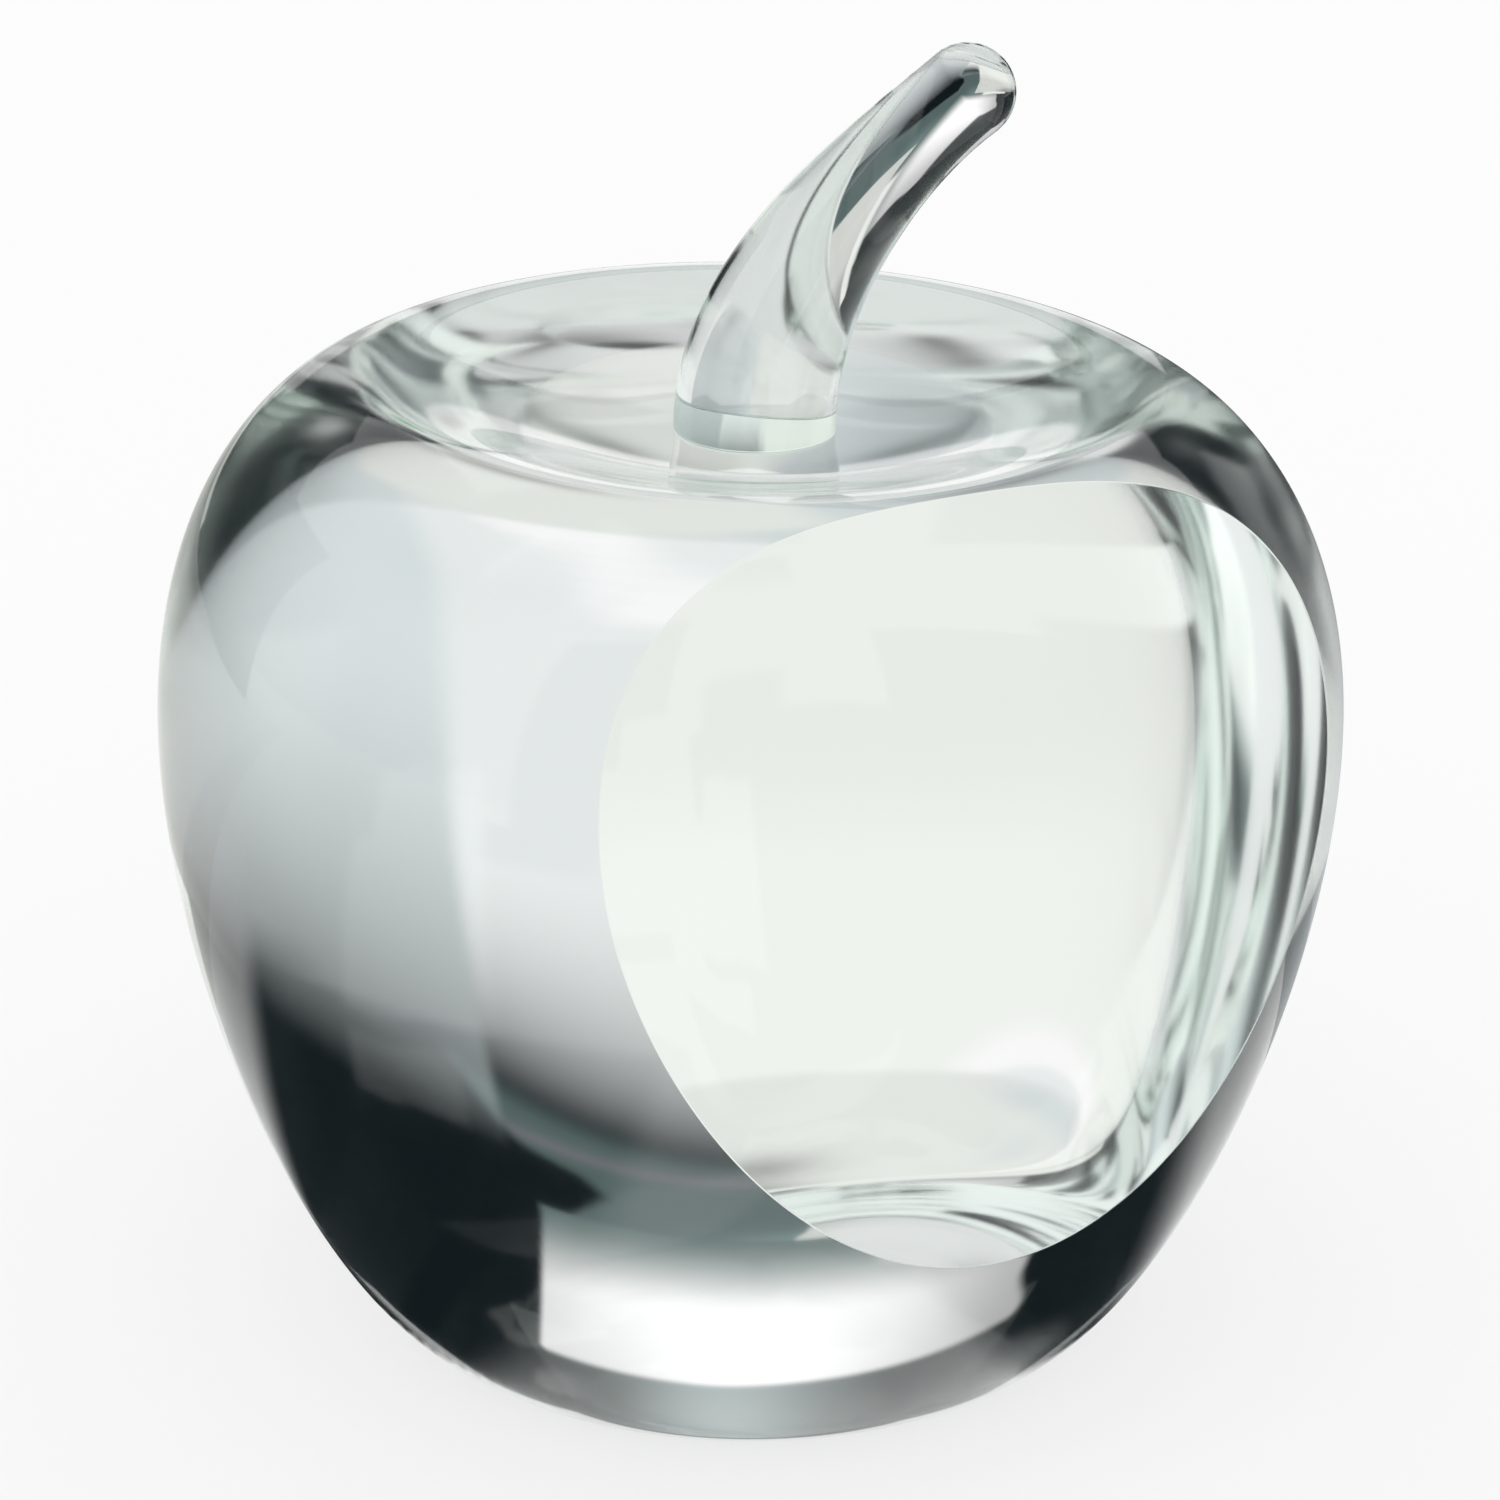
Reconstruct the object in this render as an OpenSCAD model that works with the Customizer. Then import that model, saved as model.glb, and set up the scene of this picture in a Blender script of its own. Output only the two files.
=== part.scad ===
// Solid crystal apple paperweight. A turned body carries a shallow dimple on top,
// a flat polished base and one flat polished facet. A bent stem is bonded on the
// seat in the dimple. The base rests on z = 0, the apple's axis is the z axis,
// and the facet faces -Y.

/* [Body] */
// Diameter at the belly, the widest ring
belly_d = 80; // [64:1:100]
// Height of the belly above the base
belly_h = 42.5; // [34:0.5:52]
// Height of the rim round the dimple, the highest ring of the body
rim_h = 66.5; // [58:0.5:80]
// Diameter of the rim
rim_d = 50; // [36:1:56]
// Diameter of the flat base
base_d = 48; // [30:1:56]
// Width of the fine bevel round the base
bevel_w = 0.8; // [0.2:0.1:1.5]

/* [Roundness of the body] */
// Angle at which the side leaves the base, up from level
flare_angle = 33; // [20:1:45]
// Length over which the side keeps that angle
flare_length = 7.9; // [4:0.1:10]
// Share of the shoulder's height over which the belly stays upright
belly_fullness = 0.73; // [0.5:0.01:0.85]
// Share of the shoulder's width over which the rim stays level
rim_fullness = 0.36; // [0.15:0.01:0.5]

/* [Dimple] */
// Depth of the stem's seat below the rim
dimple_depth = 3.6; // [2:0.1:6]
// Length over which the rim rolls into the dimple
dimple_roll = 4; // [0.6:0.1:8]
// Share of the dimple's width over which its dish stays nearly level
dish_fullness = 0.5; // [0.3:0.01:0.95]

/* [Facet] */
// Depth of the facet below the belly, along -Y
facet_depth = 9.6; // [4:0.1:12]
// Lean of the facet, tipped back from upright
facet_lean = 10.5; // [0:0.5:16]

/* [Stem] */
// Diameter of the stem's foot
stem_foot_d = 10.8; // [8:0.1:14]
// Diameter of the stem just before its rounded tip
stem_tip_d = 6.4; // [5:0.1:8]
// Height of the tip's centre above the foot
stem_rise = 22.8; // [18:0.1:28]
// Sideways reach of the tip's centre from the foot's centre
stem_reach = 13.4; // [8:0.1:16]
// Length over which the foot rises upright
foot_upright = 9; // [6:0.1:11]
// Length over which the upper end runs straight
tip_straight = 8; // [5:0.1:10]
// Angle of the upper end, up from level
tip_angle = 40; // [30:1:60]
// Direction in which the stem leans, turned from +X
stem_turn = -29; // [-180:1:180]

/* [Bond] */
// Thickness of the clear adhesive under the stem
bond_t = 0.15; // [0.1:0.05:0.3]
// Margin of the flat seat round the stem's foot
seat_margin = 0.6; // [0.3:0.1:2]

/* [Hidden] */
$fn = 120;

belly_r = belly_d / 2;
rim_r = rim_d / 2;
base_r = base_d / 2;
seat_r = stem_foot_d / 2 + seat_margin;
seat_z = rim_h - dimple_depth;
foot_z = seat_z + bond_t;

// Steps along each curve of the body's outline, and along the stem
side_steps = 26;
shoulder_steps = 26;
dish_steps = 18;
stem_steps = 20;
tip_steps = 6;
stem_sides = 24;

// Point at share t of a cubic curve with the four control points p
function curve(p, t) =
    pow(1 - t, 3) * p[0] + 3 * pow(1 - t, 2) * t * p[1]
    + 3 * (1 - t) * t * t * p[2] + pow(t, 3) * p[3];

// Points of a curve after its first one
function curve_points(p, steps) = [for (i = [1 : steps]) curve(p, i / steps)];

// Control points of the outline, each as [radius, height]. The side's upper
// handle is as long as it takes to bend the belly equally above and below.
side_start = [base_r + bevel_w, bevel_w * tan(flare_angle / 2)];
side_lead = side_start + flare_length * [cos(flare_angle), sin(flare_angle)];
belly = [belly_r, belly_h];
belly_up = belly_fullness * (rim_h - belly_h);
rim = [rim_r, rim_h];
rim_out = rim_fullness * (belly_r - rim_r);
belly_down = belly_up * sqrt((belly_r - side_lead[0]) / (belly_r - rim_r - rim_out));
seat = [seat_r, seat_z];
dish_out = dish_fullness * (rim_r - seat_r);

side = [side_start, side_lead, belly - [0, belly_down], belly];
shoulder = [belly, belly + [0, belly_up], rim + [rim_out, 0], rim];
dish = [rim, rim - [dimple_roll, 0], seat + [dish_out, 0], seat];

// Control points of the stem's centre line, each as [reach, rise]
stem_tip = [stem_reach, stem_rise];
stem_line = [
    [0, 0],
    [0, foot_upright],
    stem_tip - tip_straight * [cos(tip_angle), sin(tip_angle)],
    stem_tip
];

// Control values of the stem's radius: the foot stays thick, then it thins fast
foot_r = stem_foot_d / 2;
tip_r = stem_tip_d / 2;
neck_r = tip_r - 0.1 * (foot_r - tip_r);
stem_radius = [foot_r, foot_r, neck_r, tip_r];

// Direction of the stem's centre line at share t, as a unit vector
function stem_heading(t) =
    let (
        way = pow(1 - t, 2) * (stem_line[1] - stem_line[0])
            + 2 * (1 - t) * t * (stem_line[2] - stem_line[1])
            + t * t * (stem_line[3] - stem_line[2])
    )
    way / norm(way);

// Ring of points round centre c, square to heading h
function ring(c, h, r) = [
    for (i = [0 : stem_sides - 1])
        let (a = 360 * i / stem_sides)
        [c[0] + r * cos(a) * h[1], r * sin(a), c[1] - r * cos(a) * h[0]]
];

// Rings along the stem, then rings that close round its tip, then its end point
stem_rings = [
    for (i = [0 : stem_steps])
        let (t = i / stem_steps)
        ring(curve(stem_line, t), stem_heading(t), curve(stem_radius, t)),
    for (i = [1 : tip_steps - 1])
        let (a = 90 * i / tip_steps, h = stem_heading(1))
        ring(stem_tip + tip_r * sin(a) * h, h, tip_r * cos(a))
];
stem_end = stem_tip + tip_r * stem_heading(1);
stem_points = concat(
    [for (r = stem_rings) each r],
    [[stem_end[0], 0, stem_end[1]]]
);
last_ring = len(stem_rings) - 1;
end_point = len(stem_points) - 1;

// Number of point i on ring k, where i wraps round the ring
function at(k, i) = k * stem_sides + i % stem_sides;

stem_faces = concat(
    [[for (i = [0 : stem_sides - 1]) i]],
    [
        for (k = [0 : last_ring - 1], i = [0 : stem_sides - 1])
            each [
                [at(k, i), at(k + 1, i), at(k + 1, i + 1)],
                [at(k, i), at(k + 1, i + 1), at(k, i + 1)]
            ]
    ],
    [for (i = [0 : stem_sides - 1]) [at(last_ring, i), end_point, at(last_ring, i + 1)]]
);

// Half of the turned body's section, from the axis out, up and back to the axis
module body_section() {
    polygon(concat(
        [[0, 0], [base_r, 0], side_start],
        curve_points(side, side_steps),
        curve_points(shoulder, shoulder_steps),
        curve_points(dish, dish_steps),
        [[0, seat_z]]
    ));
}

// The glass that is ground away in front of the facet
module facet_waste() {
    waste = 2 * (belly_d + rim_h);
    translate([0, facet_depth - belly_r, belly_h])
        rotate([-facet_lean, 0, 0])
            translate([-waste / 2, -waste, -waste / 2])
                cube(waste);
}

module apple_body() {
    color([0.84, 0.9, 0.89])
        difference() {
            rotate_extrude() body_section();
            facet_waste();
        }
}

module stem_bond() {
    color([0.95, 0.96, 0.93])
        translate([0, 0, seat_z])
            cylinder(r = foot_r, h = bond_t);
}

module stem() {
    color([0.76, 0.82, 0.82])
        translate([0, 0, foot_z])
            rotate([0, 0, stem_turn])
                polyhedron(points = stem_points, faces = stem_faces, convexity = 4);
}

apple_body();
stem_bond();
stem();
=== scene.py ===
"""Clear crystal apple paperweight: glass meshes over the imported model, a plain studio and the camera.

Lengths are in metres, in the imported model's frame: +Z up, the apple's axis on z, the facet facing -Y.
"""
import math

import bpy
import numpy as np
from mathutils import Matrix, Vector


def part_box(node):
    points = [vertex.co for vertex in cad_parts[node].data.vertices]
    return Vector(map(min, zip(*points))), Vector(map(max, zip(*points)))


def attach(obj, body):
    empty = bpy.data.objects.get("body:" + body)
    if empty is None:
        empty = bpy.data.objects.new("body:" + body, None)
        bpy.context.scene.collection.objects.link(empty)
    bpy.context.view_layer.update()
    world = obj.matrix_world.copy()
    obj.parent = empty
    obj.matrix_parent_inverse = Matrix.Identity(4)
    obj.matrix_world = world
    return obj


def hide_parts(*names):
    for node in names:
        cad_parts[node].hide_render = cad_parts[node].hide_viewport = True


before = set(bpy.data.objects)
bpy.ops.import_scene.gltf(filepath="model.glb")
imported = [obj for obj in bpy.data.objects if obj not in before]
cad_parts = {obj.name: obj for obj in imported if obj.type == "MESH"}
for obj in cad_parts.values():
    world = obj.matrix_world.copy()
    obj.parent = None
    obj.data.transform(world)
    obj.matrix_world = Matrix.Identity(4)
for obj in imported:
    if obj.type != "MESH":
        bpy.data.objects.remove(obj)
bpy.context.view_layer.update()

MM = 0.001
UP = np.array([0, 0, 1.0])

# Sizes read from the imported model
body_low, body_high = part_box("apple_body")
bond_low, bond_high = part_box("stem_bond")
RIM_H = body_high.z
BELLY_R = min(body_high.x, body_high.y)
SEAT_Z = bond_low.z
FOOT_Z = bond_high.z
FOOT_R = bond_high.x

# Driving sizes of the body's outline
BELLY_H = 42.5 * MM
RIM_R = 25 * MM
BASE_R = 24 * MM
BEVEL_W = 0.8 * MM
FLARE_ANGLE = math.radians(33)
FLARE_LENGTH = 7.9 * MM
BELLY_FULLNESS = 0.73
RIM_FULLNESS = 0.36
DIMPLE_ROLL = 4 * MM
DISH_FULLNESS = 0.5
SEAT_R = FOOT_R + 0.6 * MM

# The handmade crown slopes down a little towards the side that the stem leans to
CROWN_SLOPE = 0.0125
LEAN_TURN = math.radians(-29)

# Facet: its plane and the fine polished edge round it
FACET_DEPTH = 9.6 * MM
FACET_LEAN = math.radians(10.5)
FACET_TURN = math.radians(-90)
EDGE_OUT = 0.008 * MM
EDGE_IN = 0.12 * MM
EDGE_PULL = 0.25

# Driving sizes of the stem
TIP_R = 3.18 * MM
STEM_REACH = 13.4 * MM
STEM_RISE = 22.8 * MM
STEM_WAIST = 0.1
FOOT_UPRIGHT = 9 * MM
TIP_STRAIGHT = 8 * MM
TIP_ANGLE = math.radians(40)

# Air left between two bonded faces, so that a ray meets them one after the other
FACE_GAP = 0.01 * MM

# Mesh counts
COLUMNS = 384
SIDE_ROWS = 60
FACET_ROWS = 170
TOP_ROWS = 12
DISH_ROWS = 90
DISH_CROWDING = 1.15
SEARCH_ROWS = 20001
EDGE_RINGS = 4
FACET_RINGS = (0.75, 0.5, 0.25)
STEM_COLUMNS = 128
STEM_ROWS = 150
TIP_ROWS = 28
BOND_RINGS = 9

# Material slots of the meshes
GLASS_SLOT = 0
CONTACT_SLOT = 1
BASE_SLOT = 2

# Glass
GLASS_INDEX = 1.517
GLASS_ABSORB = (0.6, 0.92, 0.76)
GLASS_DENSITY = 0.9
CRYSTAL_TINT = (0.99, 1.0, 0.995)
FILM_TINT = (0.98, 0.99, 0.97)
POLISH_ROUGHNESS = 0.05
BASE_ROUGHNESS = 0.08
WAVE_DETAIL = 2


def cubic(p, t):
    """Points and directions of a cubic curve at the shares t."""
    p = np.array(p, float)
    t = np.asarray(t, float)[:, None]
    s = 1 - t
    point = s**3 * p[0] + 3 * s * s * t * p[1] + 3 * s * t * t * p[2] + t**3 * p[3]
    way = 3 * (s * s * (p[1] - p[0]) + 2 * s * t * (p[2] - p[1]) + t * t * (p[3] - p[2]))
    return point, way


def smoothstep(x):
    x = np.clip(x, 0, 1)
    return x * x * (3 - 2 * x)


def unit(v):
    return v / np.maximum(np.linalg.norm(v, axis=-1, keepdims=True), 1e-12)


def circle_points(turn):
    """Points of a circle of radius 1 at the turns."""
    return np.stack([np.cos(turn), np.sin(turn), 0 * turn], -1)


def body_curves():
    """Control points of the side, the shoulder and the dish, each as (radius, height)."""
    start = np.array([BASE_R + BEVEL_W, BEVEL_W * math.tan(FLARE_ANGLE / 2)])
    lead = start + FLARE_LENGTH * np.array([math.cos(FLARE_ANGLE), math.sin(FLARE_ANGLE)])
    belly = (BELLY_R, BELLY_H)
    rim = (RIM_R, RIM_H)
    belly_up = BELLY_FULLNESS * (RIM_H - BELLY_H)
    rim_out = RIM_FULLNESS * (BELLY_R - RIM_R)
    belly_down = belly_up * math.sqrt((BELLY_R - lead[0]) / (BELLY_R - RIM_R - rim_out))
    dish_out = DISH_FULLNESS * (RIM_R - SEAT_R)
    side = [start, lead, (BELLY_R, BELLY_H - belly_down), belly]
    shoulder = [belly, (BELLY_R, BELLY_H + belly_up), (RIM_R + rim_out, RIM_H), rim]
    dish = [rim, (RIM_R - DIMPLE_ROLL, RIM_H), (SEAT_R + dish_out, SEAT_Z), (SEAT_R, SEAT_Z)]
    return side, shoulder, dish


CURVES = body_curves()


def outline(s):
    """Radius, height and the crown's share at the places s, from 0 at the base bevel to 3 at the seat."""
    s = np.asarray(s, float)
    part = np.clip(s.astype(int), 0, 2)
    point = np.zeros((len(s), 2))
    for k, curve in enumerate(CURVES):
        here = part == k
        if here.any():
            point[here] = cubic(curve, s[here] - k)[0]
    r, z = point.T
    rise = smoothstep((z - BELLY_H) / (RIM_H - BELLY_H))
    fall = smoothstep((r - SEAT_R) / (RIM_R - SEAT_R))
    share = np.where(part == 2, fall, np.where(part == 1, rise, 0))
    return r, z, share


def body_points(s, turn):
    """Points of the turned surface at rows s and at turns, an array of rows by columns."""
    r, z, share = outline(s)
    slope = CROWN_SLOPE * (r * share)[:, None] * np.cos(turn - LEAN_TURN)
    return np.stack([r[:, None] * np.cos(turn), r[:, None] * np.sin(turn), z[:, None] - slope], -1)


def turned(s, turn):
    """Points and outward normals of the turned surface; the rows beside a normal stay on its own curve."""
    step = 1e-5
    curve_start = np.floor(np.minimum(s, len(CURVES) - 10 * step))
    low = np.maximum(s - step, curve_start)
    high = np.minimum(s + step, curve_start + 1 - step / 10)
    along = body_points(high, turn) - body_points(low, turn)
    around = body_points(s, turn + step) - body_points(s, turn - step)
    return body_points(s, turn), unit(np.cross(around, along))


FACET_NORMAL = np.array([0, -math.cos(FACET_LEAN), math.sin(FACET_LEAN)])
FACET_PLANE = float(np.dot(FACET_NORMAL, (0, FACET_DEPTH - BELLY_R, BELLY_H)))


def facet_cut(s, offset):
    """What the facet's plane, moved out by offset, cuts from each row.

    Gives the cosine of half the cut's angle and the turn of its middle.
    """
    r, z, share = outline(s)
    tip = complex(math.cos(FACET_TURN), math.sin(FACET_TURN)) * math.cos(FACET_LEAN)
    lean = complex(math.cos(LEAN_TURN), math.sin(LEAN_TURN)) * math.sin(FACET_LEAN) * CROWN_SLOPE
    pull = tip - lean * share
    reach = (FACET_PLANE + offset - z * math.sin(FACET_LEAN)) / (r * np.abs(pull))
    return reach, np.angle(pull)


class Mesher:
    """Collects vertices and faces with a normal for each corner, then makes one object of them."""

    def __init__(self):
        self.points = []
        self.faces = []
        self.normals = []
        self.slots = []

    def add(self, points):
        first = len(self.points)
        self.points.extend(np.asarray(points, float).reshape(-1, 3))
        return np.arange(first, len(self.points)).reshape(np.asarray(points).shape[:-1])

    def face(self, corners, normals, slot=GLASS_SLOT):
        self.faces.append([int(c) for c in corners])
        self.normals.extend(np.asarray(normals, float).reshape(-1, 3))
        self.slots.append(slot)

    def grid(self, index, normal):
        """Quads between rows and columns of index; a quad that has shrunk to a side becomes a triangle."""
        for i in range(index.shape[0] - 1):
            for j in range(index.shape[1] - 1):
                corners = []
                for at in [(i, j), (i, j + 1), (i + 1, j + 1), (i + 1, j)]:
                    if index[at] not in [index[c] for c in corners]:
                        corners.append(at)
                if len(corners) > 2:
                    self.face([index[c] for c in corners], [normal[c] for c in corners])

    def band(self, lower, upper, lower_normals, upper_normals, slot=GLASS_SLOT):
        """Quads between two closed rings, each corner with its own ring's normal."""
        count = len(lower)
        for j in range(count):
            k = (j + 1) % count
            corners = [lower[j], lower[k], upper[k], upper[j]]
            normals = [lower_normals[j], lower_normals[k], upper_normals[k], upper_normals[j]]
            self.face(corners, normals, slot)

    def flat_band(self, outer, inner, normal, slot=GLASS_SLOT):
        """Quads between two closed rings, all with one normal."""
        normals = np.broadcast_to(normal, (len(outer), 3))
        self.band(outer, inner, normals, normals, slot)

    def flat_fan(self, ring, centre, normal, slot=GLASS_SLOT):
        """Triangles from a closed ring to a middle point, all with one normal."""
        middle = self.add([centre])[0]
        for a, b in zip(ring, np.roll(ring, -1)):
            self.face([a, b, middle], [normal] * 3, slot)

    def make(self, name, materials):
        mesh = bpy.data.meshes.new(name)
        mesh.from_pydata([tuple(p) for p in self.points], [], self.faces)
        for material in materials:
            mesh.materials.append(material)
        mesh.polygons.foreach_set("material_index", self.slots)
        mesh.polygons.foreach_set("use_smooth", [True] * len(self.faces))
        mesh.normals_split_custom_set([tuple(n) for n in self.normals])
        mesh.update()
        piece = bpy.data.objects.new(name, mesh)
        bpy.context.scene.collection.objects.link(piece)
        return piece


def body_rows():
    """Rows of the turned surface, dense where the facet starts and ends, and the two rows that bound it."""
    fine = np.linspace(0, 2, SEARCH_ROWS)
    reach, _ = facet_cut(fine, EDGE_OUT)
    inside = np.nonzero(reach < 1)[0]
    low = fine[inside[0]]
    high = fine[inside[-1]]
    ease = (1 - np.cos(np.linspace(0, math.pi, FACET_ROWS))) / 2
    below = np.linspace(0, low, SIDE_ROWS)[:-1]
    between = low + (high - low) * ease
    above = np.linspace(high, 2, TOP_ROWS)[1:]
    dish = 2 + np.linspace(0, 1, DISH_ROWS)[1:] ** DISH_CROWDING
    rows = np.concatenate([below, between, above, dish])
    return rows, len(below), len(below) + FACET_ROWS - 1


def add_turned_surface(m):
    """Side, shoulder and dish; gives their grid, normals and turns and the rows that bound the facet."""
    rows, first, last = body_rows()
    reach, middle = facet_cut(np.minimum(rows, 2), EDGE_OUT)
    half = np.zeros(len(rows))
    half[first + 1:last] = np.arccos(np.clip(reach[first + 1:last], -1, 1))
    number = np.arange(len(rows))
    middle = np.where((number >= first) & (number <= last), middle, FACET_TURN)
    share = np.linspace(0, 1, COLUMNS + 1)
    turn = middle[:, None] + half[:, None] + share * (2 * math.pi - 2 * half[:, None])
    points, normals = turned(rows, turn)
    index = m.add(points)
    closed = half == 0
    index[closed, -1] = index[closed, 0]
    m.grid(index, normals)
    return index, normals, turn, first, last


def add_base(m, side, turn):
    """The bevel round the base, then the flat."""
    circle = circle_points(turn)
    base = m.add(BASE_R * circle)
    bevel = unit(circle * math.sin(FLARE_ANGLE / 2) - UP * math.cos(FLARE_ANGLE / 2))
    m.band(base, side, bevel, bevel)
    middle_ring = m.add(BASE_R / 2 * circle)
    m.flat_band(middle_ring, base, -UP, slot=BASE_SLOT)
    m.flat_fan(middle_ring[::-1], (0, 0, 0), -UP, slot=BASE_SLOT)


def add_seat(m, dish_end, turn):
    """The free ring of the seat, then the face that is bonded to the stem."""
    foot = m.add(FOOT_R * circle_points(turn) + SEAT_Z * UP)
    m.flat_band(dish_end, foot, UP)
    m.flat_fan(foot, (0, 0, SEAT_Z), UP, slot=CONTACT_SLOT)


def add_facet(m, loop, loop_normals):
    """A rounded edge between the turned surface and the facet's plane, then the plane."""
    rim = np.array([m.points[i] for i in loop])
    centre = rim.mean(0)
    centre = centre - (np.dot(centre, FACET_NORMAL) - FACET_PLANE) * FACET_NORMAL
    along = unit(np.roll(rim, -1, 0) - np.roll(rim, 1, 0))
    inward = unit(np.cross(FACET_NORMAL, along))
    inward = inward * np.sign(np.sum(inward * (centre - rim), -1, keepdims=True))
    corner = rim - ((rim @ FACET_NORMAL) - FACET_PLANE)[:, None] * FACET_NORMAL
    bend = corner + EDGE_PULL * EDGE_IN * inward
    flat_edge = corner + EDGE_IN * inward
    ring = loop
    ring_normals = loop_normals
    for t in np.linspace(0, 1, EDGE_RINGS + 1)[1:]:
        next_ring = m.add((1 - t) ** 2 * rim + 2 * t * (1 - t) * bend + t * t * flat_edge)
        next_normals = unit((1 - t) * loop_normals + t * FACET_NORMAL)
        m.band(ring, next_ring, ring_normals, next_normals)
        ring = next_ring
        ring_normals = next_normals
    for share in FACET_RINGS:
        next_ring = m.add(centre + (flat_edge - centre) * share)
        m.flat_band(ring, next_ring, FACET_NORMAL)
        ring = next_ring
    m.flat_fan(ring, centre, FACET_NORMAL)


def make_body(glass, contact, base_glass):
    """The body; the facet's loop runs up one side of the cut rows and down the other."""
    m = Mesher()
    index, normals, turn, first, last = add_turned_surface(m)
    add_base(m, index[0, :-1], turn[0, :-1])
    add_seat(m, index[-1, :-1], turn[-1, :-1])
    loop = np.concatenate([index[first:last + 1, 0], index[first + 1:last, -1][::-1]])
    loop_normals = np.concatenate([normals[first:last + 1, 0], normals[first + 1:last, -1][::-1]])
    add_facet(m, loop, loop_normals)
    return m.make("apple_body_glass", [glass, contact, base_glass])


def stem_surface(t, turn):
    """Points of the stem at shares t of its length, over 1 on the rounded tip, and at turns round it."""
    line = [
        (0, 0),
        (0, FOOT_UPRIGHT),
        (STEM_REACH - TIP_STRAIGHT * math.cos(TIP_ANGLE), STEM_RISE - TIP_STRAIGHT * math.sin(TIP_ANGLE)),
        (STEM_REACH, STEM_RISE),
    ]
    neck = TIP_R - STEM_WAIST * (FOOT_R - TIP_R)
    body = np.clip(t, 0, 1)
    centre, way = cubic(line, body)
    way = unit(way)
    radius = cubic([(FOOT_R,), (FOOT_R,), (neck,), (TIP_R,)], body)[0][:, 0]
    cap = np.clip(t - 1, 0, 1) * math.pi / 2
    centre = centre + TIP_R * np.sin(cap)[:, None] * way
    radius = radius * np.cos(cap)
    across = radius[:, None] * np.cos(turn)
    x = centre[:, :1] + across * way[:, 1:]
    y = radius[:, None] * np.sin(turn)
    z = FOOT_Z + centre[:, 1:] - across * way[:, :1]
    return np.stack([x, y, z], -1)


def make_stem(glass, contact):
    m = Mesher()
    side = np.linspace(0, 1, STEM_ROWS)
    cap = 1 + np.linspace(0, 1, TIP_ROWS)[1:-1]
    rows = np.concatenate([side, cap])
    turn = np.linspace(0, 2 * math.pi, STEM_COLUMNS + 1)[None, :] + 0 * rows[:, None]
    step = 1e-4
    along = stem_surface(rows + step, turn) - stem_surface(np.maximum(rows - step, 0), turn)
    around = stem_surface(rows, turn + step) - stem_surface(rows, turn - step)
    spin = np.array(Matrix.Rotation(LEAN_TURN, 3, "Z"))
    index = m.add(stem_surface(rows, turn) @ spin.T)
    normals = unit(np.cross(around, along)) @ spin.T
    index[:, -1] = index[:, 0]
    m.grid(index, normals)
    # The last point of the rounded tip
    way = np.array([math.cos(TIP_ANGLE), 0, math.sin(TIP_ANGLE)])
    end = m.add([spin @ (np.array([STEM_REACH, 0, FOOT_Z + STEM_RISE]) + TIP_R * way)])[0]
    for j in range(STEM_COLUMNS):
        ring_normals = [normals[-1, j], normals[-1, j + 1], spin @ way]
        m.face([index[-1, j], index[-1, j + 1], end], ring_normals)
    foot = index[0, :-1]
    m.flat_fan(foot[::-1], (0, 0, FOOT_Z), -UP, slot=CONTACT_SLOT)
    return m.make("stem_glass", [glass, contact])


def make_bond(film, contact):
    """The cured film: a disc between the two bonded faces, clear of both by the face gap."""
    m = Mesher()
    circle = circle_points(np.linspace(0, 2 * math.pi, STEM_COLUMNS + 1)[:-1])
    low = SEAT_Z + FACE_GAP
    high = FOOT_Z - FACE_GAP
    middle = (low + high) / 2
    bulge = (high - low) / 2
    rings = []
    normals = []
    for angle in np.linspace(-math.pi / 2, math.pi / 2, BOND_RINGS):
        radius = FOOT_R - bulge + bulge * math.cos(angle)
        rings.append(m.add(circle * radius + UP * (middle + bulge * math.sin(angle))))
        normals.append(math.cos(angle) * circle + math.sin(angle) * UP)
    for k in range(BOND_RINGS - 1):
        m.band(rings[k], rings[k + 1], normals[k], normals[k + 1])
    m.flat_fan(rings[0][::-1], (0, 0, low), -UP, slot=CONTACT_SLOT)
    m.flat_fan(rings[-1], (0, 0, high), UP, slot=CONTACT_SLOT)
    return m.make("stem_bond_film", [film, contact])


def new_material(name):
    """A material with an empty node tree: itself, its nodes, its links and its output node."""
    material = bpy.data.materials.new(name)
    material.use_nodes = True
    nodes = material.node_tree.nodes
    links = material.node_tree.links
    nodes.clear()
    return material, nodes, links, nodes.new("ShaderNodeOutputMaterial")


def tint_inside(nodes, links, out):
    """The green tint that light takes on while it passes through the glass."""
    volume = nodes.new("ShaderNodeVolumeAbsorption")
    volume.inputs["Color"].default_value = (*GLASS_ABSORB, 1)
    volume.inputs["Density"].default_value = GLASS_DENSITY
    links.new(volume.outputs["Volume"], out.inputs["Volume"])


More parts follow.
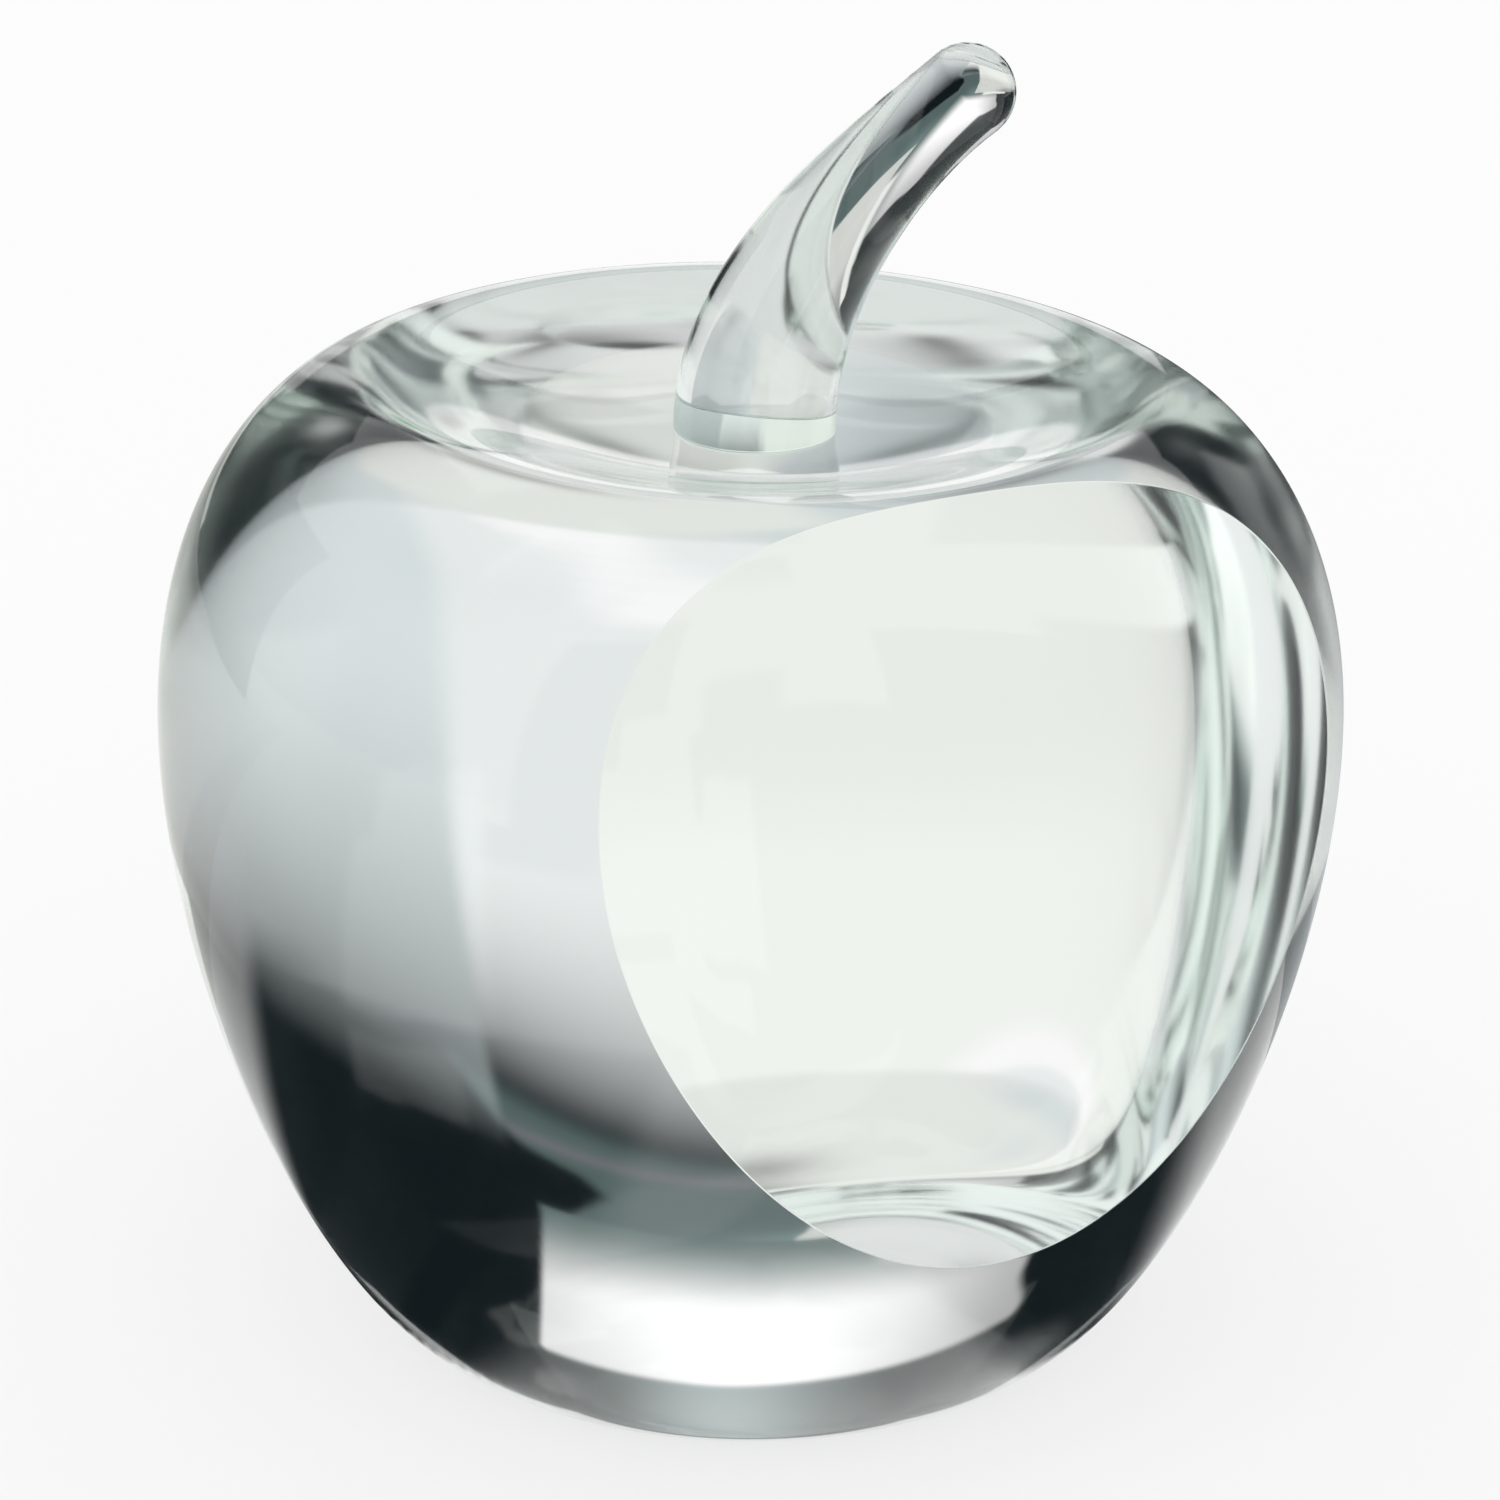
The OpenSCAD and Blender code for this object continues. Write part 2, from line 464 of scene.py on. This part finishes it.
def glass_material(name, tint, wave, wave_size, roughness=POLISH_ROUGHNESS):
    """Clear polished glass; its polish is faintly wavy, as high as wave and as wide as wave_size."""
    material, nodes, links, out = new_material(name)
    shader = nodes.new("ShaderNodeBsdfPrincipled")
    shader.inputs["Base Color"].default_value = (*tint, 1)
    shader.inputs["Transmission Weight"].default_value = 1
    shader.inputs["IOR"].default_value = GLASS_INDEX
    shader.inputs["Roughness"].default_value = roughness
    place = nodes.new("ShaderNodeTexCoord")
    noise = nodes.new("ShaderNodeTexNoise")
    noise.inputs["Scale"].default_value = 1 / wave_size
    noise.inputs["Detail"].default_value = WAVE_DETAIL
    bump = nodes.new("ShaderNodeBump")
    bump.inputs["Strength"].default_value = 1
    bump.inputs["Distance"].default_value = wave
    links.new(place.outputs["Object"], noise.inputs["Vector"])
    links.new(noise.outputs["Fac"], bump.inputs["Height"])
    links.new(bump.outputs["Normal"], shader.inputs["Normal"])
    links.new(shader.outputs["BSDF"], out.inputs["Surface"])
    tint_inside(nodes, links, out)
    return material


def contact_material(name):
    """A bonded face: light passes straight through it, inside the same glass."""
    material, nodes, links, out = new_material(name)
    clear = nodes.new("ShaderNodeBsdfTransparent")
    links.new(clear.outputs["BSDF"], out.inputs["Surface"])
    tint_inside(nodes, links, out)
    return material


def dress():
    """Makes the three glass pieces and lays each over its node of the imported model."""
    glass = glass_material("crystal", CRYSTAL_TINT, 0.002 * MM, 18 * MM)
    rod = glass_material("stem_crystal", CRYSTAL_TINT, 0.01 * MM, 5 * MM)
    film = glass_material("adhesive", FILM_TINT, 0.002 * MM, 1 * MM)
    base = glass_material("polished_base", CRYSTAL_TINT, 0.003 * MM, 2 * MM, BASE_ROUGHNESS)
    contact = contact_material("bonded_face")
    pieces = (
        (make_body(glass, contact, base), "apple_body", "crystal"),
        (make_stem(rod, contact), "stem", "stem_crystal"),
        (make_bond(film, contact), "stem_bond", "adhesive"),
    )
    for piece, node, slot in pieces:
        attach(piece, "root")
        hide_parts(node)


# Camera: fitted to the photograph's outline of the body, the dimple and the facet
CAMERA_TURN = math.radians(-29.2)
CAMERA_RISE = math.radians(22.47)
CAMERA_FAR = 320 * MM
CAMERA_ROLL = math.radians(0.79)
AIM_H = 39.75 * MM
FRAME_PX = 1500
PX_PER_BELLY_R = 586.4
SENSOR = 36.0
CLIP_START = 0.01
CLIP_END = 100


def make_camera():
    data = bpy.data.cameras.new("camera")
    data.sensor_width = SENSOR
    data.lens = SENSOR * (PX_PER_BELLY_R / FRAME_PX) * (CAMERA_FAR / BELLY_R)
    data.clip_start = CLIP_START
    data.clip_end = CLIP_END
    camera = bpy.data.objects.new("camera", data)
    bpy.context.scene.collection.objects.link(camera)
    level = math.cos(CAMERA_RISE)
    back = Vector((math.sin(CAMERA_TURN) * level, -math.cos(CAMERA_TURN) * level, math.sin(CAMERA_RISE)))
    place = Matrix.Translation(Vector((0, 0, AIM_H)) + back * CAMERA_FAR)
    look = (-back).to_track_quat("-Z", "Y").to_matrix().to_4x4()
    camera.matrix_world = place @ look @ Matrix.Rotation(CAMERA_ROLL, 4, "Z")
    bpy.context.scene.camera = camera


# Floor and world; a strength of 1 is white
FLOOR_HALF = 3.0
FLOOR_DROP = 0.02 * MM
FLOOR_COLOUR = (0.92, 0.92, 0.92)
SHADOW_SHARE = 0.3
WHITE = (1, 1, 1, 1)


def make_world():
    world = bpy.data.worlds.new("studio")
    bpy.context.scene.world = world
    world.use_nodes = True
    background = world.node_tree.nodes["Background"]
    background.inputs["Color"].default_value = WHITE
    background.inputs["Strength"].default_value = 1


def seen_directly(nodes, links):
    """1 for a ray from the camera or one that glass or gloss has passed on, else 0."""
    path = nodes.new("ShaderNodeLightPath")
    total = path.outputs["Is Camera Ray"]
    for name in ("Is Glossy Ray", "Is Transmission Ray"):
        add = nodes.new("ShaderNodeMath")
        add.operation = "MAXIMUM"
        links.new(total, add.inputs[0])
        links.new(path.outputs[name], add.inputs[1])
        total = add.outputs[0]
    return total


def floor_material():
    """White floor that keeps a share of the light's shadow where it is seen."""
    material, nodes, links, out = new_material("floor")
    lit = nodes.new("ShaderNodeBsdfDiffuse")
    lit.inputs["Color"].default_value = (*FLOOR_COLOUR, 1)
    glow = nodes.new("ShaderNodeEmission")
    glow.inputs["Color"].default_value = WHITE
    glow.inputs["Strength"].default_value = 1
    share = nodes.new("ShaderNodeMath")
    share.operation = "MULTIPLY"
    share.inputs[1].default_value = 1 - SHADOW_SHARE
    mix = nodes.new("ShaderNodeMixShader")
    links.new(seen_directly(nodes, links), share.inputs[0])
    links.new(share.outputs[0], mix.inputs["Fac"])
    links.new(lit.outputs["BSDF"], mix.inputs[1])
    links.new(glow.outputs["Emission"], mix.inputs[2])
    links.new(mix.outputs["Shader"], out.inputs["Surface"])
    return material


def add_to_stage(mesh, material):
    """Object of a mesh that belongs to the studio, not to the apple."""
    mesh.materials.append(material)
    piece = bpy.data.objects.new(mesh.name, mesh)
    bpy.context.scene.collection.objects.link(piece)
    return piece


def make_floor():
    sides = ((-1, -1), (1, -1), (1, 1), (-1, 1))
    corners = [(x * FLOOR_HALF, y * FLOOR_HALF, -FLOOR_DROP) for x, y in sides]
    mesh = bpy.data.meshes.new("floor")
    mesh.from_pydata(corners, [], [(0, 1, 2, 3)])
    add_to_stage(mesh, floor_material())


# What the glass shows of the room round it: cloths, walls and a dome with soft tones.
# Only glass and gloss pick them up. Their places are in mm from the middle of the base,
# as seen from the camera: to its right, away from it and up. A colour of 1 is white.
TONE = "tone"
CARD_LIFT = 0.2
CARD_FOOT = -1
BASE_CLEAR = 26
CLOTH_HALF = 500
TABLE_START = 30
TABLE_END = 334
FRONT_START = 12
FRONT_END = -419
PANEL_AWAY = 330
GLOW_AWAY = 333
WALL_AWAY = 335
CURTAIN_AWAY = -420
DOME_R = 2400
DOME_STEP = 3

BLACK = (0.006, 0.010, 0.012)
TEAL = (0.12, 0.17, 0.165)
VIOLET = (0.10, 0.05, 0.08)
PALE = (0.865, 0.88, 0.89)
PALE_COOL = (0.86, 0.915, 0.93)
PALE_FRONT = (0.93, 0.945, 0.94)
FIELD_NEAR = (0.925, 0.935, 0.90)
FIELD_FAR = (0.86, 0.87, 0.835)
WEDGE = (1.02, 0.99, 1.005)
LAMP_WHITE = (1.0, 0.985, 0.99)
GLOW = (0.95, 1.12, 1.12)
ROOM = (1.0, 0.99, 1.0)
ROOM_GREY = 0.78
LIT_SIDE_GAIN = 0.10
LIT_SIDE_TURN = 70


def ramp(value, start, width):
    """Share that goes softly from 0 at start to 1 a width further on; a negative width goes downwards."""
    return smoothstep((value - start) / width)


def soft_edge(value, at, width):
    """Share that goes from 0 to 1 across a soft edge centred on a place."""
    return ramp(value, at - width / 2, width)


def bell(value, middle, spread):
    """Share that is 1 in the middle and fades away on both sides."""
    return np.exp(-((value - middle) / spread) ** 2)


def blend(a, b, share):
    """Colour between a and b at each share."""
    share = np.asarray(share)[..., None]
    return np.asarray(a) * (1 - share) + np.asarray(b) * share


def scale(colour, strength):
    """One colour at each strength."""
    return np.asarray(strength)[..., None] * np.asarray(colour)


def steps(*spans):
    """Places along one side of a grid; each span is (start, end, step)."""
    return np.unique(np.concatenate([np.arange(start, end + step / 2, step) for start, end, step in spans]))


def tone_material():
    """Light of the colour that a card's mesh carries at each point, let in by the share in its alpha."""
    material, nodes, links, out = new_material("studio_tone")
    tone = nodes.new("ShaderNodeAttribute")
    tone.attribute_name = TONE
    light = nodes.new("ShaderNodeEmission")
    light.inputs["Strength"].default_value = 1
    clear = nodes.new("ShaderNodeBsdfTransparent")
    mix = nodes.new("ShaderNodeMixShader")
    links.new(tone.outputs["Color"], light.inputs["Color"])
    links.new(tone.outputs["Alpha"], mix.inputs["Fac"])
    links.new(clear.outputs["BSDF"], mix.inputs[1])
    links.new(light.outputs["Emission"], mix.inputs[2])
    links.new(mix.outputs["Shader"], out.inputs["Surface"])
    material.cycles.emission_sampling = "NONE"
    return material


def studio_points(right, away, up):
    """Points in the model's frame for places given as seen from the camera, in mm."""
    side = np.array([math.cos(CAMERA_TURN), math.sin(CAMERA_TURN), 0])
    ahead = np.array([-math.sin(CAMERA_TURN), math.cos(CAMERA_TURN), 0])
    return (scale(side, right) + scale(ahead, away) + scale(UP, up)) * MM


def tone_card(name, points, colour, cover, material):
    """Curtain, wall or cloth: a grid of points with a colour and a cover at each."""
    count = points.shape[0] * points.shape[1]
    index = np.arange(count).reshape(points.shape[:2])
    faces = np.stack([index[:-1, :-1], index[:-1, 1:], index[1:, 1:], index[1:, :-1]], -1).reshape(-1, 4)
    cover = cover.reshape(-1)
    faces = faces[cover[faces].max(1) > 0]
    mesh = bpy.data.meshes.new(name)
    mesh.from_pydata(points.reshape(-1, 3).tolist(), [], faces.tolist())
    tone = np.column_stack([colour.reshape(-1, 3), cover])
    layer = mesh.color_attributes.new(TONE, "FLOAT_COLOR", "POINT")
    layer.data.foreach_set("color", tone.reshape(-1))
    piece = add_to_stage(mesh, material)
    piece.visible_camera = False
    piece.visible_diffuse = False
    piece.visible_shadow = False


def flat_card(name, right, away, tone, cover, material):
    """Card that lies on the floor."""
    right, away = np.meshgrid(right, away)
    points = studio_points(right, away, np.full(right.shape, CARD_LIFT))
    tone_card(name, points, tone(right, away), cover(right, away), material)


def upright_card(name, right, up, away, tone, cover, material):
    """Card that stands square to the camera's view."""
    right, up = np.meshgrid(right, up)
    points = studio_points(right, np.full(right.shape, float(away)), up)
    tone_card(name, points, tone(right, up), cover(right, up), material)


def whole(across, along):
    """Cover of a card that has no holes or soft edges."""
    return np.ones(across.shape)


def dark_tone(across, along):
    """Tone of a card that is black all over."""
    return scale(BLACK, np.ones(across.shape))


def table_right_part(right, away):
    """Right part of the table: the light falls off slowly from the middle and away from the apple."""
    level = np.clip(0.89 - 0.0031 * right, 0.22, 0.89)
    start = 76 - np.clip(0.2 * right, 0, 14)
    width = 92 + 0.75 * np.maximum(right, 0)
    return blend(scale(PALE_COOL, level), BLACK, ramp(away, start, width))


def table_left_dark(right, away):
    """Share of darkness on the left part of the table, which begins further off towards the left."""
    start = 101 + 60 * ramp(right, start=-4, width=-10) + 400 * ramp(right, start=-14, width=-8)
    return ramp(away, start, width=44)


def table_field(right, away):
    """Warm white field that the facet looks at, greyer far off and to the side."""
    field = blend(FIELD_NEAR, FIELD_FAR, ramp(away, start=88, width=22))
    far_grey = 0.22 * ramp(away, start=140, width=60)
    side_grey = 0.4 * ramp(right, start=-80, width=-120) * ramp(away, start=200, width=100)
    return field * (1 - far_grey - side_grey)[..., None]


def table_wedge(right, away):
    """Share of the white wedge of direct light."""
    slanted_side = -1.7 + 0.18 * (away - 54)
    across = ramp(right, slanted_side, width=-0.6) * ramp(right, start=-5, width=2)
    return across * ramp(away, start=52, width=1.5) * (1 - ramp(away, start=70, width=3))


def table_light(right, away):
    """Share of light left on the table: shaded close to the apple and at two places by its foot."""
    shade = (1 - ramp(away, start=51.5, width=1.5)) * (0.12 + 0.13 * ramp(right, start=2, width=8))
    by_the_foot = 0.55 * bell(np.abs(right), middle=13, spread=4.5) * bell(away, middle=34.5, spread=2.6)
    return (1 - shade) * (1 - by_the_foot)


def table_gleam(right, away):
    """Gleam of the panel on the dark table, with one thin violet line where it begins."""
    side = 27 + 9 * (1 - ramp(away, start=168, width=10)) + 0.28 * np.maximum(away - 200, 0)
    inside = ramp(right, side, width=-5) * ramp(away, start=138, width=12)
    line = inside * bell(away, middle=154 + 0.25 * right, spread=3.5)
    strength = 0.75 + 0.9 * ramp(away, start=200, width=130) * ramp(right, start=30, width=-60)
    return (scale(TEAL, strength) + scale(VIOLET, line)) * inside[..., None]


def table_tone(right, away):
    """Table beyond the apple: pale close to it and dark further off, where the panel gleams on it."""
    left_dark = table_left_dark(right, away)
    divide = ramp(right - 0.3 * (away - 52), start=-1, width=2)
    tone = blend(blend(PALE, BLACK, left_dark), table_right_part(right, away), divide)
    field_side = 3.5 - 4.5 * ramp(away, start=44, width=8)
    tone = blend(tone, table_field(right, away), ramp(right, field_side, width=-3) * (1 - left_dark))
    tone = blend(tone, WEDGE, table_wedge(right, away))
    tone = tone * table_light(right, away)[..., None]
    return tone + table_gleam(right, away) * np.maximum(left_dark, divide)[..., None]


def make_table(material):
    """Cloth beyond the apple, with a finer grid where its tone changes fast."""
    across = steps((-CLOTH_HALF, -60, 20), (-60, -8, 1), (-8, 8, 0.5), (8, 110, 1), (110, CLOTH_HALF, 10))
    along = steps((TABLE_START, 80, 1), (80, TABLE_END, 2))
    flat_card("table_cloth", across, along, table_tone, whole, material)


def front_tone(right, away):
    """Table on the camera's side: pale, with two dark corners and two dark patches near the apple."""
    reach = np.hypot(right, away)
    turn = np.degrees(np.arctan2(right, -away))
    right_corner = ramp(turn, start=15, width=7) * ramp(turn, start=46, width=-3)
    right_corner = right_corner * ramp(reach, start=170, width=40)
    left_corner = ramp(turn, start=-22, width=-6) * ramp(turn, start=-50, width=6)
    left_corner = left_corner * ramp(reach, start=225, width=70)
    # Two dark patches on the table close to the apple, one on each side
    left_dark_patch = ramp(right, start=-13, width=-8) * ramp(reach, start=85, width=-6)
    left_dark_patch = left_dark_patch * ramp(away, start=12, width=-12)
    right_dark_patch = ramp(right, start=18, width=4) * ramp(reach, start=80, width=-20)
    right_dark_patch = right_dark_patch * ramp(away, start=4, width=-16)
    light = (1 - right_corner) * (1 - left_corner) * (1 - left_dark_patch) * (1 - right_dark_patch)
    return blend(BLACK, PALE_FRONT, light)


def clear_of_base(right, away):
    """Cover of a cloth with a hole for the apple's base."""
    return ramp(np.hypot(right, away), BASE_CLEAR, width=1)


def make_front(material):
    """Cloth on the camera's side, with a finer grid close to the apple."""
    across = steps((-CLOTH_HALF, -80, 15), (-80, 80, 1), (80, CLOTH_HALF, 15))
    along = steps((FRONT_END, -90, 7), (-90, FRONT_START, 1))
    flat_card("front_cloth", across, along, front_tone, clear_of_base, material)


def panel_tone(right, up):
    """Lit panel: brightest a little right of the middle, dim at its foot but for the left."""
    lamp = 1.15 - 0.62 * ramp(right, start=-10, width=-130) - 0.28 * ramp(right, start=10, width=80)
    tone = blend(TEAL, scale(LAMP_WHITE, lamp), ramp(up, start=-2, width=38))
    pale_foot = ramp(right, start=-45, width=-15) * (1 - ramp(up, start=8, width=8))
    return blend(tone, FIELD_FAR, pale_foot)


def panel_cover(right, up):
    """Panel's outline: a low roof over sides that lean outwards, and a long pale foot to the left."""
    roof = 125 - 0.27 * np.hypot(right - 10, 15)
    left_side = -130 - 13 * ramp(up, start=44, width=30) - 100 * (1 - ramp(up, start=10, width=5))
    right_side = 74 + 0.31 * np.clip(up - 4, 0, 90)
    across = soft_edge(right, left_side, width=8) * soft_edge(right, right_side, width=-3)
    return across * soft_edge(up, roof, width=-14)


def make_panel(material):
    """Lit panel far beyond the apple."""
    across = steps((-240, 110, 2))
    high = steps((CARD_FOOT, 135, 2))
    upright_card("bright_panel", across, high, PANEL_AWAY, panel_tone, panel_cover, material)


def glow_tone(right, up):
    """Wall over the panel, lit by it."""
    return scale(GLOW, 0.04 + 0.34 * bell(right, middle=8, spread=52))


def make_glow(material):
    """Part of the wall close over the panel."""
    across = steps((-150, 112, 4))
    high = steps((60, 205, 4))
    upright_card("panel_glow", across, high, GLOW_AWAY, glow_tone, whole, material)


def make_walls(material):
    """Dark wall far behind the apple, higher to the sides, with a part that comes forward on each side."""
    columns = (
        # right, away, top
        (-437, 120, 290),
        (-437, WALL_AWAY, 290),
        (-200, WALL_AWAY, 285),
        (-110, WALL_AWAY, 225),
        (110, WALL_AWAY, 212),
        (200, WALL_AWAY, 260),
        (390, WALL_AWAY, 270),
        (390, 225, 270),
    )
    right, away, top = np.array(columns, float).T
    right = np.stack([right, right])
    away = np.stack([away, away])
    up = np.stack([np.full(len(columns), CARD_FOOT), top])
    points = studio_points(right, away, up)
    tone_card("dark_walls", points, dark_tone(right, up), whole(right, up), material)


def curtain_cover(right, up):
    """Dark curtain behind the camera, with a low strip and a narrow bar that reach out to its right."""
    side = 335 + 0.1 * np.maximum(up - 380, 0) + 520 * ramp(up, start=510, width=30)
    roof = 640 + np.maximum(right, 0)
    across = ramp(right, start=-400, width=30) * ramp(right, side, width=-15)
    window = ramp(right, start=230, width=20) * ramp(up, start=68, width=10) * ramp(up, start=324, width=-8)
    curtain = across * ramp(up, roof, width=-60) * (1 - window)
    strip_top = 70 + 60 * ramp(right, start=420, width=30)
    strip = ramp(right, start=130, width=20) * ramp(right, start=490, width=-20)
    strip = strip * ramp(up, strip_top, width=-10)
    bar_height = 341 + 28 * ramp(right, start=340, width=160)
    bar = ramp(right, start=130, width=30) * ramp(right, start=585, width=-20)
    bar = bar * ramp(np.abs(up - bar_height), start=24, width=-8)
    return np.maximum(np.maximum(strip, bar), curtain)


def make_curtain(material):
    """Curtain behind the camera, with a coarser grid high up and far to the right."""
    across = steps((-404, 588, 8), (588, 908, 20))
    high = steps((CARD_FOOT, 401, 6), (401, 1541, 20))
    upright_card("dark_curtain", across, high, CURTAIN_AWAY, dark_tone, curtain_cover, material)


def darken(grey, turn, rise, at, spread, depth):
    """Grey with a soft dark spot; its place and spread are pairs of turn and rise in degrees."""
    return grey * (1 - depth * bell(turn, at[0], spread[0]) * bell(rise, at[1], spread[1]))


def room_tone(turn, rise):
    """Room over the apple: light grey, brighter low on one side, with dark patches high up."""
    lit_side = np.cos(np.radians(turn - LIT_SIDE_TURN)) * (1 - ramp(rise, start=20, width=30))
    grey = ROOM_GREY + LIT_SIDE_GAIN * lit_side
    grey = darken(grey, turn, rise, at=(2, 33), spread=(13, 11), depth=0.93)
    grey = darken(grey, turn, rise, at=(58, 62), spread=(50, 10), depth=0.70)
    grey = darken(grey, turn, rise, at=(96, 52), spread=(13, 7), depth=0.75)
    grey = darken(grey, turn, rise, at=(-96, 45), spread=(24, 9), depth=0.80)
    grey = darken(grey, turn, rise, at=(-66, 56), spread=(18, 6), depth=0.35)
    return scale(ROOM, grey)


def make_room(material):
    """Dome round the whole studio; turn 0 is the camera's side."""
    turn, rise = np.meshgrid(steps((-180, 180, DOME_STEP)), steps((0, 90, DOME_STEP)))
    level = DOME_R * np.cos(np.radians(rise))
    right = level * np.sin(np.radians(turn))
    away = -level * np.cos(np.radians(turn))
    points = studio_points(right, away, DOME_R * np.sin(np.radians(rise)))
    tone_card("room", points, room_tone(turn, rise), whole(turn, rise), material)


def make_studio():
    make_world()
    make_floor()
    material = tone_material()
    make_table(material)
    make_front(material)
    make_panel(material)
    make_glow(material)
    make_walls(material)
    make_curtain(material)
    make_room(material)


def set_bounces():
    """Enough bounces for light that is mirrored many times inside the glass."""
    cycles = bpy.context.scene.cycles
    cycles.max_bounces = 40
    cycles.transmission_bounces = 40
    cycles.glossy_bounces = 16
    cycles.transparent_max_bounces = 24


dress()
make_camera()
make_studio()
set_bounces()
bpy.context.scene.view_settings.view_transform = "Standard"
